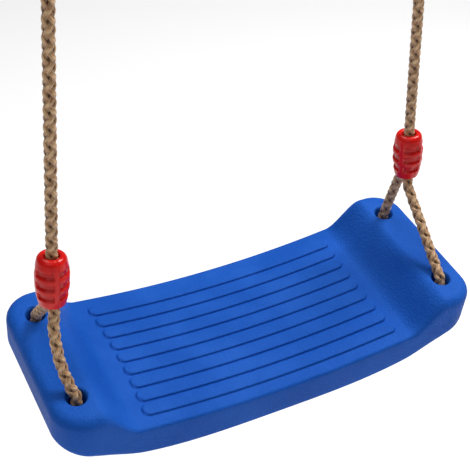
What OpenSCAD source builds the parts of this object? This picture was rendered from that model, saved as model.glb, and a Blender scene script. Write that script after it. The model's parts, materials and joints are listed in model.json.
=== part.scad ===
// Board swing: a sagging hollow seat on two braided ropes, each gripped by
// barrel clamps and hung from a steel ring. Millimetres, +Z up, +Y to the back.
// The origin lies midway between the centres of the two hanging rings.

/* [Seat] */
// Overall length of the seat
seat_l = 437; // [380:1:520]
// Overall width of the seat, front to back
seat_w = 172; // [165:1:210]
// Radius of the seat's corners in plan
seat_corner_r = 30; // [15:1:45]
// Depth of the sitting surface below the rope holes, at mid length
seat_sag = 44; // [35:1:53]
// Height of the side wall at mid length
seat_mid_h = 34; // [28:1:41]
// Height of the end wall
seat_end_h = 28; // [23:1:34]
// Length of the sitting surface between the feet of the two raised ends
sag_l = 296; // [280:1:300]
// Run of the slope from the sitting surface up to each raised end
slope_run = 29; // [24:1:32]
// Thickness of the moulded skin
skin = 3.5; // [2.5:0.1:4.5]

/* [Rope holes] */
// Distance between the left and right rope holes
hole_span = 385; // [375:1:388]
// Distance between the front and back rope holes
hole_gap = 106; // [100:1:112]
// Diameter of a rope hole
hole_d = 18; // [17:0.5:22]
// Depth of the rope slot in the underside
slot_depth = 24; // [22:1:26]
// Clearance on each side of the rope in its slot
slot_gap = 2; // [1.5:0.1:3]

/* [Grip strips] */
// Number of strips moulded in the sitting surface
strip_count = 9; // [5:2:9]
// Distance between the middles of two strips
strip_pitch = 16.4; // [13:0.1:17]
// Width of the groove between two strips
strip_gap = 2.2; // [1.5:0.1:4]
// Height of a strip above the sitting surface
strip_rise = 1.2; // [0.6:0.1:2]
// Length of a strip with its round ends
strip_l = 271; // [200:1:276]

/* [Rope] */
// Diameter of the rope
rope_d = 10; // [9:0.1:10]
// Clear length of rope between the upper and the lower clamp
rope_run = 252; // [200:1:320]
// Distance between the mouths of the two lower clamps
clamp_span = 391; // [380:1:400]
// Lean of each rope towards the other, in degrees
rope_lean = 4.1; // [0:0.1:6]

/* [Clamps] */
// Largest diameter of a clamp
clamp_d = 30; // [29.6:0.1:36]
// Length of a clamp
clamp_h = 48; // [47:1:60]
// How much the radius shrinks from the belly to the ends
clamp_taper = 3.2; // [1.5:0.1:3.2]
// Depth of the finger pockets in the belly
pocket_depth = 1.5; // [0.8:0.1:1.5]
// Height of a pocket
pocket_h = 6.8; // [4:0.1:7.5]
// Distance between the middles of two pocket rows
pocket_pitch = 11.2; // [9:0.1:11.5]
// Wall of the crimp sleeve round the two strands
sleeve_wall = 1; // [0.8:0.1:1.2]

/* [Hanging rings] */
// Wire diameter of a ring
ring_wire = 6; // [5:0.5:8]
// Inside diameter of a ring
ring_id = 54; // [45:1:70]
// Inside radius of the thimble in the rope eye
thimble_r = 11; // [10:0.5:12]
// Wall of the thimble
thimble_wall = 2; // [1.5:0.1:2.4]

/* [How the seat hangs] */
// Height of the lower clamps' mouths above the rope holes
clamp_rise = 70; // [66:0.5:74]
// How far the mouths lie behind the middle of the holes
clamp_back = 15.1; // [10:0.1:20]
// Tilt of the seat, front edge down, in degrees
seat_pitch = 7.5; // [4:0.5:11]
// Turn of the seat out of line with its two ropes, in degrees
seat_turn = 6; // [3:0.5:8]

/* [Hidden] */
$fn = 96;
LEFT = -1;
RIGHT = 1;
eps = 0.01;
gap = 0.3;               // clearance between pieces on different bodies
snug = 0.1;              // clearance between pieces that are clamped together

rope_r = rope_d / 2;
strand_off = rope_r + snug;                  // strand centre from the clamp's axis
sleeve_r = rope_r + snug;                    // inside radius of the sleeve's round ends
sleeve_h = 20;
sleeve_z = 8;                                // lower end of the sleeve above the mouth
cavity_r = sleeve_r + sleeve_wall + snug;
cavity_top = 41.5;                            // where the stadium cavity gives way to the bore
clamp_r = clamp_d / 2;
clamp_belly = 26;                            // height of the widest point above the mouth
clamp_bore_r = rope_r + 1.5;
flare = 0.8;                                   // how far the mouth opens round each strand
flare_h = 8;
pocket_low = 12;                             // middle of the lowest pocket row
pocket_rows = 3;
web_w = 4.8;
seam = 0.1;                                  // half of the gap between the two halves
peg_r = 1;
peg_z = 44;

// Distances down the rope from the wire of the ring
ring_r = (ring_id + ring_wire) / 2;
thimble_drop = thimble_r - ring_wire / 2 - gap;
eye_r = thimble_r + thimble_wall + snug + rope_r;
upper_mouth = 55;
upper_end = upper_mouth + clamp_h;
lower_end = upper_end + rope_run;
bend_in = 2.5;                               // how far inside a bore the rope bends
bend_gap = 1.6;                              // room there for the ends of the two runs
rope_total = lower_end + clamp_h;
ring_x = clamp_span / 2 - rope_total * sin(rope_lean);
mouth_z = -ring_r - rope_total * cos(rope_lean);

// Seat outline and profile, in the seat's own frame with the hole plane at z = 0
half_l = seat_l / 2;
half_w = seat_w / 2;
foot_x = sag_l / 2;
arc_rise = 11;                               // rise of the sitting surface to the slope's foot
belly_power = 3.2;                           // how late the underside turns up
profile_step = 8;

function sag_z(x) = -seat_sag + arc_rise * pow(x / foot_x, 2);
function ease(t) = t * t * (3 - 2 * t);
function top_z(x) =
    let (a = abs(x))
    a <= foot_x ? sag_z(a)
    : a >= foot_x + slope_run ? 0
    : sag_z(foot_x) * (1 - ease((a - foot_x) / slope_run));
function under_z(x) =
    -seat_sag - seat_mid_h
    + (seat_sag + seat_mid_h - seat_end_h) * pow(abs(x) / half_l, belly_power);

// Places on the slope get closer points than the long sag and the flat ends
profile_x = concat(
    [for (x = [0:profile_step:foot_x - 1]) x],
    [for (k = [0:10]) foot_x + slope_run * k / 10],
    [half_l]
);
side_x = concat([for (i = [len(profile_x) - 1:-1:1]) -profile_x[i]], profile_x);
under_x = [for (k = [-14:14]) half_l * k / 14];

function side_outline(skin_in, rise) = concat(
    [for (x = side_x) [x, top_z(x) - skin_in + rise]],
    [for (i = [len(under_x) - 1:-1:0]) [under_x[i], under_z(under_x[i]) + skin_in]]
);

// ---- Frames ----
// Puts the seat's own frame in its hanging place
module seat_place() {
    translate([0, 0, mouth_z])
        rotate([0, 0, -seat_turn])
            rotate([seat_pitch, 0, 0])
                translate([0, -clamp_back, -clamp_rise])
                    children();
}

// Local +Z runs up the rope and the origin lies on the wire of the ring
module rope_place(side) {
    translate([side * ring_x, 0, -ring_r])
        rotate([0, -side * rope_lean, 0])
            children();
}

// Local +Z runs up the rope and the origin lies in the lower clamp's mouth
module lower_place(side) {
    rope_place(side)
        translate([0, 0, -rope_total])
            children();
}

// Local +Z runs down the rope and the origin lies in the upper clamp's mouth
module upper_place(side) {
    rope_place(side)
        translate([0, 0, -upper_mouth])
            rotate([180, 0, 0])
                children();
}

// ---- Seat ----
module plan_2d(inset) {
    r = seat_corner_r - inset;
    l = half_l - seat_corner_r;
    w = half_w - seat_corner_r;
    square([2 * l, 2 * (w + r)], center = true);
    square([2 * (l + r), 2 * w], center = true);
    for (x = [-l, l], y = [-w, w])
        translate([x, y])
            circle(r);
}

module side_slab(skin_in, rise) {
    rotate([90, 0, 0])
        linear_extrude(height = seat_w + 2, center = true)
            polygon(side_outline(skin_in, rise));
}

module seat_body(skin_in, rise) {
    intersection() {
        translate([0, 0, -2 * seat_sag - seat_mid_h])
            linear_extrude(height = 3 * seat_sag + seat_mid_h)
                plan_2d(skin_in);
        side_slab(skin_in, rise);
    }
}

module strips_2d() {
    strip_r = (strip_pitch - strip_gap) / 2;
    for (k = [0:strip_count - 1])
        translate([0, (k - (strip_count - 1) / 2) * strip_pitch]) {
            square([strip_l - 2 * strip_r, 2 * strip_r], center = true);
            for (s = [-1, 1])
                translate([s * (strip_l / 2 - strip_r), 0])
                    circle(strip_r);
        }
}

module strips() {
    intersection() {
        translate([0, 0, -seat_sag - skin / 2])
            linear_extrude(height = seat_sag)
                strips_2d();
        side_slab(0, strip_rise);
    }
}

module hole_places() {
    for (x = [-1, 1], y = [-1, 1])
        translate([x * hole_span / 2, y * hole_gap / 2, 0])
            children();
}

module slots(grow, extra) {
    floor_z = under_z(hole_span / 2) + slot_depth;
    w = rope_d + 2 * slot_gap + 2 * grow;
    for (x = [-1, 1])
        translate([x * hole_span / 2 - w / 2, -hole_gap / 2, -2 * seat_sag])
            cube([w, hole_gap, 2 * seat_sag + floor_z + extra]);
}

module seat_shell() {
    lip = 3;
    color("royalblue")
        seat_place()
            difference() {
                union() {
                    seat_body(0, 0);
                    strips();
                }
                difference() {
                    seat_body(skin, 0);
                    hole_places()
                        translate([0, 0, -seat_l / 2])
                            cylinder(r = hole_d / 2 + skin, h = seat_l);
                    slots(skin, skin);
                }
                hole_places()
                    translate([0, 0, -seat_l / 2])
                        cylinder(d = hole_d, h = seat_l);
                hole_places()
                    translate([0, 0, -lip])
                        cylinder(r1 = hole_d / 2, r2 = hole_d / 2 + lip + eps, h = lip + eps);
                slots(0, 0);
            }
}

// ---- Clamps, drawn with the two-strand mouth at z = 0 ----
function belly(z) =
    let (t = z < clamp_belly ? (clamp_belly - z) / clamp_belly
             : (z - clamp_belly) / (clamp_h - clamp_belly))
    clamp_r - clamp_taper * t * t;

module barrel() {
    edge = 3;
    steps = 12;
    rotate_extrude()
        polygon(concat(
            [[0, 0], [belly(0) - edge / 2, 0]],
            [for (k = [1:steps - 1]) [belly(clamp_h * k / steps), clamp_h * k / steps]],
            [[belly(clamp_h) - 0.3, clamp_h - edge / 2], [belly(clamp_h) - edge, clamp_h], [0, clamp_h]]
        ));
}

module pockets() {
    for (k = [0:pocket_rows - 1])
        translate([0, 0, pocket_low + k * pocket_pitch - pocket_h / 2])
            difference() {
                cylinder(r = clamp_r + 1, h = pocket_h);
                translate([0, 0, -1])
                    cylinder(r = belly(pocket_low + k * pocket_pitch) - pocket_depth, h = pocket_h + 2);
                for (a = [0, 90])
                    rotate([0, 0, a])
                        translate([-2 * clamp_r, -web_w / 2, -1])
                            cube([4 * clamp_r, web_w, pocket_h + 2]);
            }
}

module stadium(r, h) {
    for (s = [-1, 1])
        translate([0, s * strand_off, 0])
            cylinder(r = r, h = h);
    translate([-r, -strand_off, 0])
        cube([2 * r, 2 * strand_off, h]);
}

module clamp_body(turn) {
    difference() {
        barrel();
        rotate([0, 0, turn])
            pockets();
        translate([0, 0, -1])
            stadium(rope_r + 2 * snug, cavity_top);
        translate([0, 0, sleeve_z - snug])
            stadium(cavity_r, sleeve_h + 2 * snug);
        translate([0, 0, sleeve_z])
            cylinder(r = clamp_bore_r, h = clamp_h);
        for (s = [-1, 1])
            translate([0, s * strand_off, -flare_h])
                cylinder(r1 = rope_r + 2 * flare, r2 = rope_r + snug, h = 2 * flare_h);
    }
}

// A half of a clamp. The inner half faces the other rope.
module clamp_half(toward, turn) {
    peg_y = (clamp_bore_r + belly(peg_z)) / 2;
    difference() {
        clamp_body(turn);
        translate([toward > 0 ? -3 * clamp_r + seam : -seam, -2 * clamp_r, -1])
            cube([3 * clamp_r, 4 * clamp_r, clamp_h + 2]);
        if (toward < 0)
            for (s = [-1, 1])
                translate([-3 - 2 * snug, s * peg_y, peg_z])
                    rotate([0, 90, 0])
                        cylinder(r = peg_r + snug, h = 4);
    }
    if (toward > 0)
        for (s = [-1, 1])
            translate([-3, s * peg_y, peg_z])
                rotate([0, 90, 0])
                    cylinder(r = peg_r, h = 4);
}

module sleeve() {
    translate([0, 0, sleeve_z])
        difference() {
            stadium(sleeve_r + sleeve_wall, sleeve_h);
            translate([0, 0, -1])
                stadium(sleeve_r, sleeve_h + 2);
        }
}

function clamp_turn(side) = side == LEFT ? -7 : 23;

module lower_clamp(side, toward) {
    color("red")
        lower_place(side)
            clamp_half(toward, clamp_turn(side));
}

module upper_clamp(side, toward) {
    color("red")
        upper_place(side)
            clamp_half(toward, clamp_turn(side));
}

module lower_sleeve(side) {
    color("silver")
        lower_place(side)
            sleeve();
}

module upper_sleeve(side) {
    color("silver")
        upper_place(side)
            sleeve();
}

// ---- Hanging rings ----
module ring(side) {
    color("lightgray")
        translate([side * ring_x, 0, 0])
            rotate([90, 0, 0])
                rotate_extrude()
                    translate([ring_r, 0])
                        circle(d = ring_wire);
}

module thimble(side) {
    rim_x = eye_r + 0.3 * rope_r;            // the rims stop a little past the rope's middle
    color("dimgray")
        rope_place(side)
            translate([0, 0, -thimble_drop])
                rotate([0, 90, 0])
                    rotate_extrude()
                        difference() {
                            translate([eye_r, 0])
                                circle(r = rope_r + snug + thimble_wall);
                            translate([eye_r, 0])
                                circle(r = rope_r + snug);
                            translate([rim_x, -rope_d])
                                square([rope_d, 2 * rope_d]);
                        }
}

// ---- Ropes: tubes swept along chosen points ----
tube_sides = 10;

function unit(v) = v / norm(v);
function tangent(p, i) = unit(p[min(i + 1, len(p) - 1)] - p[max(i - 1, 0)]);
// A ring of points square to the tangent, kept from twisting by a fixed side direction
function tube_ring(p, i, side_dir) =
    let (t = tangent(p, i),
         u = unit(cross(t, side_dir)),
         v = cross(u, t))
    [for (k = [0:tube_sides - 1])
        let (a = 360 * k / tube_sides)
        p[i] + rope_r * (cos(a) * u + sin(a) * v)];

module tube(p, side_dir) {
    n = tube_sides;
    m = len(p);
    points = [for (i = [0:m - 1]) each tube_ring(p, i, side_dir)];
    sides = [for (i = [0:m - 2], k = [0:n - 1])
        [i * n + k, i * n + (k + 1) % n, (i + 1) * n + (k + 1) % n, (i + 1) * n + k]];
    caps = [[for (k = [n - 1:-1:0]) k], [for (k = [0:n - 1]) (m - 1) * n + k]];
    polyhedron(points = points, faces = concat(sides, caps), convexity = 6);
}

// The straight rope, in rope_place: distance down the rope
rope_top = upper_end - bend_in;
rope_low = lower_end + bend_in;
straight_rope_route = [for (k = [0:8]) [0, 0, -rope_top - (rope_low - rope_top) * k / 8]];

// Strands inside a clamp, with its mouth at z = 0: from the bore down, and up to the tail's end
clamp_in_route = [
    [0, 0, clamp_h - bend_in - bend_gap], [0, -0.3, 42.3], [0, -1.3, 39.5], [0, -2.6, 36.5],
    [0, -4, 33], [0, -4.9, 30], [0, -strand_off, 27], [0, -strand_off, 18], [0, -strand_off, 6],
];
clamp_out_route = [[0, strand_off, 6], [0, strand_off, 17], [0, strand_off, 27]];

// One flank of the eye, as [y, z] in rope_place, and the turn round the thimble
turn_step = 22.5;
turn_r = eye_r / cos(turn_step / 2) + 2 * snug;
eye_flank = [[5.4, -54], [8, -44], [13.5, -33], [18, -20]];
eye_route = concat(
    [for (p = clamp_in_route) [0, p.y, -upper_mouth - p.z]],
    [for (p = eye_flank) [0, -p[0], p[1]]],
    [for (a = [180:-turn_step:0]) [0, turn_r * cos(a), turn_r * sin(a) - thimble_drop]],
    [for (k = [3:-1:0]) [0, eye_flank[k][0], eye_flank[k][1]]],
    [for (p = clamp_out_route) [0, p.y, -upper_mouth - p.z]]
);

// Front leg, run under the seat and back leg, in the seat's frame, as [y, z] in the hole line
left_leg_route = [
    [-12, 66], [-20, 52], [-34, 28], [-46, 8], [-51.5, -1], [-53, -8], [-53, -16], [-51, -25],
    [-45, -33], [-35, -37], [-18, -38], [0, -38], [18, -38], [35, -37], [45, -33], [51, -25],
    [53, -16], [53, -8], [51.5, -1], [45, 9], [26, 35], [8, 60], [3, 67],
];
right_leg_route = [
    [28, 61], [20, 53], [-5, 34], [-34, 12], [-48, 2], [-53, -4], [-54, -11], [-53, -20],
    [-48, -30], [-38, -36], [-18, -38], [0, -38], [18, -38], [35, -37], [45, -33], [51, -25],
    [53, -16], [53, -8], [52, 0], [50, 14], [45, 42], [42, 58], [41, 62],
];

function rot_x(p, a) = [p.x, p.y * cos(a) - p.z * sin(a), p.y * sin(a) + p.z * cos(a)];
function rot_y(p, a) = [p.x * cos(a) + p.z * sin(a), p.y, p.z * cos(a) - p.x * sin(a)];
function rot_z(p, a) = [p.x * cos(a) - p.y * sin(a), p.x * sin(a) + p.y * cos(a), p.z];
function seat_to_row(p) =
    [0, 0, mouth_z] + rot_z(rot_x(p - [0, clamp_back, clamp_rise], seat_pitch), -seat_turn);
function mouth_to_row(side, p) =
    [side * ring_x, 0, -ring_r] + rot_y(p - [0, 0, rope_total], -side * rope_lean);

function leg_points(side) = concat(
    [for (p = clamp_in_route) mouth_to_row(side, p)],
    [for (p = side == LEFT ? left_leg_route : right_leg_route)
        seat_to_row([side * hole_span / 2, p[0], p[1]])],
    [for (p = clamp_out_route) mouth_to_row(side, p)]
);

module rope(side) {
    color("burlywood")
        rope_place(side)
            tube(straight_rope_route, [1, 0, 0]);
}

module rope_eye(side) {
    color("burlywood")
        rope_place(side)
            tube(eye_route, [1, 0, 0]);
}

module rope_legs(side) {
    color("burlywood")
        tube(leg_points(side), [1, 0, 0]);
}

seat_shell();
ring(LEFT);  // left_ring
thimble(LEFT);  // left_thimble
rope_eye(LEFT);  // left_rope_eye
upper_sleeve(LEFT);  // left_upper_sleeve
upper_clamp(LEFT, 1);  // left_upper_clamp_inner
upper_clamp(LEFT, -1);  // left_upper_clamp_outer
rope(LEFT);  // left_rope
lower_sleeve(LEFT);  // left_lower_sleeve
lower_clamp(LEFT, 1);  // left_lower_clamp_inner
lower_clamp(LEFT, -1);  // left_lower_clamp_outer
rope_legs(LEFT);  // left_rope_legs
ring(RIGHT);  // right_ring
thimble(RIGHT);  // right_thimble
rope_eye(RIGHT);  // right_rope_eye
upper_sleeve(RIGHT);  // right_upper_sleeve
upper_clamp(RIGHT, -1);  // right_upper_clamp_inner
upper_clamp(RIGHT, 1);  // right_upper_clamp_outer
rope(RIGHT);  // right_rope
lower_sleeve(RIGHT);  // right_lower_sleeve
lower_clamp(RIGHT, -1);  // right_lower_clamp_inner
lower_clamp(RIGHT, 1);  // right_lower_clamp_outer
rope_legs(RIGHT);  // right_rope_legs
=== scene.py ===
"""Swing seat on two braided ropes: the looks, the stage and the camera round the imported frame."""

import json
import logging
import math
from dataclasses import dataclass
from enum import Enum
from typing import Callable, Sequence

import bmesh
import bpy
from mathutils import Matrix, Vector


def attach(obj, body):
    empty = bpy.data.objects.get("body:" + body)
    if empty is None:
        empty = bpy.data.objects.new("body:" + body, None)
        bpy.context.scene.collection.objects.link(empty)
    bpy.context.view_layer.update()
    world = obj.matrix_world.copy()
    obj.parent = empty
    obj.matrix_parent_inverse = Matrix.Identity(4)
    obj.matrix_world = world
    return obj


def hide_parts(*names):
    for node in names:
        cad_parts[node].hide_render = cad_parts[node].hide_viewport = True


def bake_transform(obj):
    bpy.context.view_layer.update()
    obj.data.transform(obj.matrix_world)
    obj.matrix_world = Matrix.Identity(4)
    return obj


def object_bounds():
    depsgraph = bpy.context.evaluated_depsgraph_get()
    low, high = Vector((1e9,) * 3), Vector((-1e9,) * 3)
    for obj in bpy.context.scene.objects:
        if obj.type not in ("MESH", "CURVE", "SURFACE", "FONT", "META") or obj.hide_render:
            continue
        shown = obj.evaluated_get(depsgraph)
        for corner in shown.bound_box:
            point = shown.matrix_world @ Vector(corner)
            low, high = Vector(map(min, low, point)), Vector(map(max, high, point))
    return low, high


MM = 0.001
LOG = logging.getLogger("swing_seat")
BRIDGE_STEP = 1.2 * MM  # spacing of the rings along a rope

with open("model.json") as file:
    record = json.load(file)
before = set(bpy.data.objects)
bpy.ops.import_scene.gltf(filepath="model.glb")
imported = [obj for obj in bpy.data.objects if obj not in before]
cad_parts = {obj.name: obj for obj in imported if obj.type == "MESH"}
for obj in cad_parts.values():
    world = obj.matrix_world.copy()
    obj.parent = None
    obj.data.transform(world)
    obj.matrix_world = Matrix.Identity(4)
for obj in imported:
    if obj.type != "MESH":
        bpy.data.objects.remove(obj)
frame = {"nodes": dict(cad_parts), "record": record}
PACKED_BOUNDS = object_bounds()


class Side(Enum):
    """Which end of the seat a piece belongs to; the value is its sign along X."""

    LEFT = -1
    RIGHT = 1

    @property
    def label(self) -> str:
        """The side's word in node and piece names."""
        return self.name.lower()


# ---------------------------------------------------------------- small maths


def smooth(value: float, low: float, high: float) -> float:
    """Eases from 0 at low to 1 at high.

    Args:
        value: where to look.
        low: where the result starts to rise.
        high: where the result reaches one.

    Returns:
        A number from 0 to 1.
    """
    t = min(1.0, max(0.0, (value - low) / (high - low)))
    return t * t * (3.0 - 2.0 * t)


def lerp(a: float | Vector, b: float | Vector, share: float) -> float | Vector:
    """The value that lies the given share of the way from a to b.

    Args:
        a: number or vector at share 0.
        b: number or vector at share 1.
        share: how far along.

    Returns:
        A number or vector like a.
    """
    return a + (b - a) * share


def spread(start: float, stop: float, count: int) -> list[float]:
    """Evenly spaced values after start, up to and including stop.

    Args:
        start: value that is left out.
        stop: last value.
        count: how many values.

    Returns:
        The list of values.
    """
    return [start + (stop - start) * k / count for k in range(1, count + 1)]


def curve_through(points: Sequence[Vector], step: float) -> list[Vector]:
    """A smooth line through the points, cut into steps of even length.

    Args:
        points: places the line passes, in order.
        step: wanted distance between two results, in metres.

    Returns:
        Points along the line, both ends included.
    """
    fine: list[Vector] = []
    padded = [2 * points[0] - points[1], *points, 2 * points[-1] - points[-2]]
    for a, b, c, d in zip(padded, padded[1:], padded[2:], padded[3:]):
        for k in range(12):
            t = k / 12
            fine.append(
                0.5 * (2 * b + (c - a) * t + (2 * a - 5 * b + 4 * c - d) * t * t
                       + (3 * b - a - 3 * c + d) * t * t * t)
            )
    fine.append(points[-1].copy())
    total = sum((q - p).length for p, q in zip(fine, fine[1:]))
    count = max(2, round(total / step))
    result, walked, k = [fine[0]], 0.0, 0
    for n in range(1, count):
        target = total * n / count
        while k < len(fine) - 2 and walked + (fine[k + 1] - fine[k]).length < target:
            walked += (fine[k + 1] - fine[k]).length
            k += 1
        span = (fine[k + 1] - fine[k]).length
        result.append(lerp(fine[k], fine[k + 1], (target - walked) / span))
    result.append(fine[-1])
    return result


def length_of(path: Sequence[Vector]) -> float:
    """Length of a line in metres.

    Args:
        path: its points.

    Returns:
        The sum of the steps.
    """
    return sum((b - a).length for a, b in zip(path, path[1:]))


def frames_along(path: Sequence[Vector], across: Vector) -> list[tuple[Vector, Vector]]:
    """Two directions square to the line at each point, kept from twisting.

    Args:
        path: the line.
        across: rough direction of the first one at the start.

    Returns:
        One pair of unit vectors for each point.
    """
    result = []
    side = across.copy()
    for k, here in enumerate(path):
        tangent = (path[min(k + 1, len(path) - 1)] - path[max(k - 1, 0)]).normalized()
        side = (side - tangent * side.dot(tangent)).normalized()
        result.append((side.copy(), tangent.cross(side)))
    return result


# ---------------------------------------------------------------- meshes


@dataclass
class Shell:
    """A mesh under construction, made of grids that are bent into place."""

    name: str

    def __post_init__(self) -> None:
        """Starts an empty mesh with one texture layer."""
        self.bm = bmesh.new()
        self.uv = self.bm.loops.layers.uv.new("UVMap")
        self.depth = self.bm.verts.layers.float.new("depth")

    def grid(
        self,
        nu: int,
        nv: int,
        place: Callable[[float, float], Vector],
        uv_size: tuple[float, float] = (1.0, 1.0),
        uv_shift: tuple[float, float] = (0.0, 0.0),
        depth: Callable[[float, float], float] | None = None,
    ) -> list:
        """Makes a grid and bends it.

        Args:
            nu: number of cells along the first way.
            nv: number of cells along the second way.
            place: gives the place of a point from its two shares, 0 to 1.
            uv_size: size of the grid in the texture layer.
            uv_shift: where the grid starts in the texture layer.
            depth: gives the value kept in the depth layer.

        Returns:
            The new vertices.
        """
        shift = Matrix.Translation((0.5, 0.5, 0.0))
        made = bmesh.ops.create_grid(
            self.bm, x_segments=nu, y_segments=nv, size=0.5, matrix=shift, calc_uvs=True
        )["verts"]
        faces = {f for v in made for f in v.link_faces}
        for face in faces:
            for loop in face.loops:
                u, v = loop.vert.co.x, loop.vert.co.y
                loop[self.uv].uv = (uv_shift[0] + u * uv_size[0], uv_shift[1] + v * uv_size[1])
        for vert in made:
            u, v = vert.co.x, vert.co.y
            if depth:
                vert[self.depth] = depth(u, v)
            vert.co = place(u, v)
        return made

    def open_edges(self) -> list:
        """The edges that have one face.

        Returns:
            A list of edges.
        """
        return [e for e in self.bm.edges if len(e.link_faces) == 1]

    def weld(self, reach: float = 0.01 * MM) -> None:
        """Joins points that lie together.

        Args:
            reach: how near they lie, in metres.
        """
        bmesh.ops.remove_doubles(self.bm, verts=self.bm.verts[:], dist=reach)

    def close_ends(self) -> None:
        """Fills every open loop of edges."""
        edges = self.open_edges()
        if edges:
            bmesh.ops.holes_fill(self.bm, edges=edges, sides=0)

    def finish(self, matrix: Matrix | None = None) -> bpy.types.Object:
        """Turns the mesh into an object of the scene.

        Args:
            matrix: takes the mesh to the shared frame.

        Returns:
            The object, at the origin and unturned.
        """
        if matrix:
            bmesh.ops.transform(self.bm, matrix=matrix, verts=self.bm.verts[:])
        bmesh.ops.recalc_face_normals(self.bm, faces=self.bm.faces[:])
        for face in self.bm.faces:
            face.smooth = True
        mesh = bpy.data.meshes.new(self.name)
        self.bm.to_mesh(mesh)
        self.bm.free()
        thing = bpy.data.objects.new(self.name, mesh)
        bpy.context.scene.collection.objects.link(thing)
        return thing


# ---------------------------------------------------------------- shader graphs


class Wire:
    """A socket of a shader graph that can be used in sums."""

    def __init__(self, graph: "Graph", socket: "bpy.types.NodeSocket | None") -> None:
        """Args:
            graph: the graph it belongs to.
            socket: an output socket, or None for a node without outputs.
        """
        self.graph = graph
        self.socket = socket

    def _sum(self, kind: str, first: "Wire | float", second: "Wire | float") -> "Wire":
        """Adds a math node with two inputs."""
        return self.graph.add("Math", {0: first, 1: second}, operation=kind)

    def __add__(self, other: "Wire | float") -> "Wire":
        """Adds a wire or a number."""
        return self._sum("ADD", self, other)

    def __radd__(self, other: "Wire | float") -> "Wire":
        """Adds the wire to a number."""
        return self._sum("ADD", other, self)

    def __sub__(self, other: "Wire | float") -> "Wire":
        """Takes a wire or a number away."""
        return self._sum("SUBTRACT", self, other)

    def __rsub__(self, other: "Wire | float") -> "Wire":
        """Takes the wire away from a number."""
        return self._sum("SUBTRACT", other, self)

    def __mul__(self, other: "Wire | float") -> "Wire":
        """Multiplies by a wire or a number."""
        return self._sum("MULTIPLY", self, other)

    def __rmul__(self, other: "Wire | float") -> "Wire":
        """Multiplies a number by the wire."""
        return self._sum("MULTIPLY", other, self)

    def __truediv__(self, other: "Wire | float") -> "Wire":
        """Divides by a wire or a number."""
        return self._sum("DIVIDE", self, other)

    def __rtruediv__(self, other: "Wire | float") -> "Wire":
        """Divides a number by the wire."""
        return self._sum("DIVIDE", other, self)

    def __pow__(self, other: "Wire | float") -> "Wire":
        """Raises to the power of a wire or a number."""
        return self._sum("POWER", self, other)

    def ramp(self, low: float, high: float, start: float = 0.0, stop: float = 1.0) -> "Wire":
        """Eases between two values.

        Args:
            low: input at which the result is start.
            high: input at which the result is stop.
            start: first result.
            stop: last result.

        Returns:
            The eased value.
        """
        return self.graph.add(
            "MapRange",
            {"Value": self, "From Min": low, "From Max": high, "To Min": start, "To Max": stop},
            interpolation_type="SMOOTHSTEP",
        )


class Graph:
    """The node tree of one material."""

    def __init__(self, name: str) -> None:
        """Args:
            name: name of the material.
        """
        self.material = bpy.data.materials.new(name)
        self.material.use_nodes = True
        self.tree = self.material.node_tree
        self.tree.nodes.clear()

    @staticmethod
    def _socket(sockets: "bpy.types.bpy_prop_collection", key: int | str) -> "bpy.types.NodeSocket":
        """Finds a socket.

        Args:
            sockets: a node's inputs or outputs.
            key: its number, identifier or name.

        Returns:
            The socket.
        """
        if isinstance(key, int):
            return sockets[key]
        exact = [s for s in sockets if s.identifier == key]
        return exact[0] if exact else sockets[key]

    def add(self, kind: str, values: dict | None = None, out: int | str = 0, **settings) -> Wire:
        """Adds a node, the one way every node is made.

        Args:
            kind: the node type without its ShaderNode prefix.
            values: what goes into its inputs, by name, identifier or number.
            out: the output to hand back.
            settings: the node's own settings.

        Returns:
            A wire from the output.
        """
        node = self.tree.nodes.new("ShaderNode" + kind)
        for key, value in settings.items():
            setattr(node, key, value)
        for key, value in (values or {}).items():
            target = self._socket(node.inputs, key)
            if isinstance(value, Wire):
                self.tree.links.new(value.socket, target)
            else:
                colour = target.type == "RGBA" and len(value) == 3
                target.default_value = (*value, 1.0) if colour else value
        return Wire(self, self._socket(node.outputs, out) if len(node.outputs) else None)

    def place(self) -> Wire:
        """Returns:
            The point on the object, in metres.
        """
        return self.add("TexCoord", out="Object")

    def own(self, name: str) -> Wire:
        """Reads one of the mesh's own layers.

        Args:
            name: name of the layer.

        Returns:
            Its value.
        """
        return self.add("Attribute", out="Fac", attribute_name=name)

    def noise(self, where: Wire, scale: float, detail: float = 3.0, rough: float = 0.55) -> Wire:
        """Cloudy noise from 0 to 1.

        Args:
            where: the point.
            scale: how many features fit in a metre.
            detail: number of finer layers.
            rough: weight of the finer layers.

        Returns:
            The noise.
        """
        return self.add(
            "TexNoise", {"Vector": where, "Scale": scale, "Detail": detail, "Roughness": rough}
        )

    def stretched(self, where: Wire, scale: tuple[float, float, float]) -> Wire:
        """Scales a point.

        Args:
            where: the point.
            scale: factor along each axis.

        Returns:
            The scaled point.
        """
        return self.add("VectorMath", {0: where, 1: scale}, operation="MULTIPLY")

    def blend(self, share: Wire, first: "Wire | Colour", second: "Wire | Colour") -> Wire:
        """Mixes two colours.

        Args:
            share: weight of the second one.
            first: colour or wire.
            second: colour or wire.

        Returns:
            The mixed colour.
        """
        return self.add(
            "Mix",
            {"Factor_Float": share, "A_Color": first, "B_Color": second},
            out="Result_Color",
            data_type="RGBA",
        )

    def bump(self, height: Wire, depth: float, strength: float = 1.0) -> Wire:
        """Turns a height into a tilted surface.

        Args:
            height: the height, 0 to 1.
            depth: how many metres a height of one is.
            strength: weight of the effect.

        Returns:
            The normal.
        """
        return self.add("Bump", {"Height": height, "Distance": depth, "Strength": strength})

    def surface(self, **inputs) -> bpy.types.Material:
        """Ends the graph in one shader.

        Args:
            inputs: what goes into it, with spaces as underscores.

        Returns:
            The finished material.
        """
        values = {k.replace("_", " "): v for k, v in inputs.items()}
        shader = self.add("BsdfPrincipled", values)
        self.add("OutputMaterial", {"Surface": shader})
        return self.material


# ---------------------------------------------------------------- finishes

Colour = tuple[float, float, float]


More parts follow.
